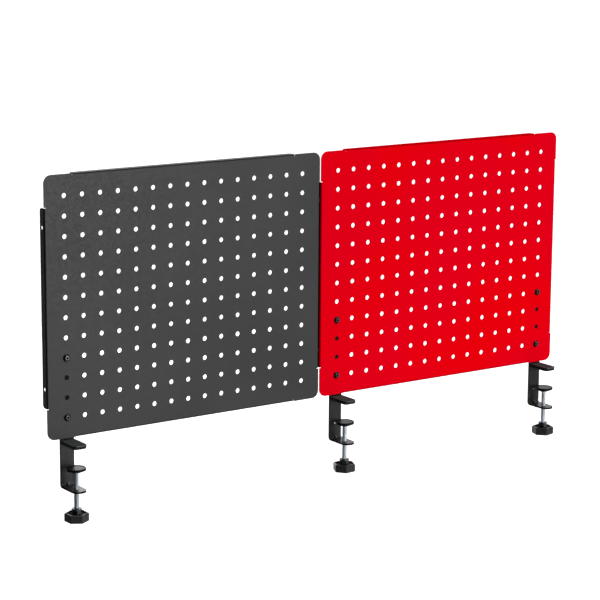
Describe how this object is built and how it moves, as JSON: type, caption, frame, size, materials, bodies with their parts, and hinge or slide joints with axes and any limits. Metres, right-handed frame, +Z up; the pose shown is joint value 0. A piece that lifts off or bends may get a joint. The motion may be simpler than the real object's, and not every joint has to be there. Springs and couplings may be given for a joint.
{
  "type": "clamp-on desk pegboard",
  "caption": "Perforated steel panels side by side, grey and red, with bent rims, held above a desk's rear edge by hand-screw clamps with jaws, cups and hexagonal knobs.",
  "frame": {"origin": "where the middle clamp's screw axis meets the underside of its upper jaw, in the plane of the desk's top", "axes": "+X along the panels to the right of someone at the desk, +Y away from them through the panels, +Z up"},
  "size_m": [0.812, 0.0463, 0.4283],
  "materials": {
    "grey_powder_coat": "dark grey powder coat, fine texture",
    "red_powder_coat": "red powder coat, fine texture, satin",
    "black_powder_coat": "black powder coat, satin",
    "black_steel": "black coated steel",
    "zinc_steel": "bright zinc-plated steel",
    "black_plastic": "black moulded plastic, satin",
    "black_nylon": "black nylon",
    "black_rubber": "black rubber, matt",
    "grey_rubber": "dark grey rubber, matt"
  },
  "bodies": {
    "frame": {"grey_panel": "grey_powder_coat", "red_panel": "red_powder_coat", "panel_screws": "black_steel", "panel_washers": "black_steel", "panel_nuts": "black_steel", "joining_screws": "black_steel", "joining_spacers": "black_nylon", "joining_nuts": "black_steel", "left_bracket": "black_powder_coat", "left_upper_jaw": "black_powder_coat", "left_jaw_pad": "black_rubber", "middle_bracket": "black_powder_coat", "middle_upper_jaw": "black_powder_coat", "middle_jaw_pad": "black_rubber", "right_bracket": "black_powder_coat", "right_upper_jaw": "black_powder_coat", "right_jaw_pad": "black_rubber"},
    "left_pad": {"left_pressure_cup": "black_plastic", "left_cup_insert": "grey_rubber"},
    "left_screw": {"left_clamp_screw": "zinc_steel", "left_lock_nut": "black_steel", "left_knob": "black_plastic"},
    "middle_pad": {"middle_pressure_cup": "black_plastic", "middle_cup_insert": "grey_rubber"},
    "middle_screw": {"middle_clamp_screw": "zinc_steel", "middle_lock_nut": "black_steel", "middle_knob": "black_plastic"},
    "right_pad": {"right_pressure_cup": "black_plastic", "right_cup_insert": "grey_rubber"},
    "right_screw": {"right_clamp_screw": "zinc_steel", "right_lock_nut": "black_steel", "right_knob": "black_plastic"}
  },
  "joints": [
    {"name": "left_pad_travel", "type": "slide", "parent": "frame", "child": "left_pad", "axis": [0, 0, 1], "range_m": [-0.0205, 0.0215]},
    {"name": "left_screw_turn", "type": "hinge", "parent": "left_pad", "child": "left_screw", "pos_m": [-0.407, 0, -0.06], "axis": [0, 0, 1], "range_deg": [-7344, 7704]},
    {"name": "middle_pad_travel", "type": "slide", "parent": "frame", "child": "middle_pad", "axis": [0, 0, 1], "range_m": [-0.0205, 0.0215]},
    {"name": "middle_screw_turn", "type": "hinge", "parent": "middle_pad", "child": "middle_screw", "pos_m": [0, 0, -0.06], "axis": [0, 0, 1], "range_deg": [-7344, 7704]},
    {"name": "right_pad_travel", "type": "slide", "parent": "frame", "child": "right_pad", "axis": [0, 0, 1], "range_m": [-0.0205, 0.0215]},
    {"name": "right_screw_turn", "type": "hinge", "parent": "right_pad", "child": "right_screw", "pos_m": [0.35, 0, -0.06], "axis": [0, 0, 1], "range_deg": [-7344, 7704]}
  ],
  "couplings": [
    {"joint": "left_pad_travel", "follows": "left_screw_turn", "m_per_rad": 0.00015915},
    {"joint": "middle_pad_travel", "follows": "middle_screw_turn", "m_per_rad": 0.00015915},
    {"joint": "right_pad_travel", "follows": "right_screw_turn", "m_per_rad": 0.00015915}
  ]
}
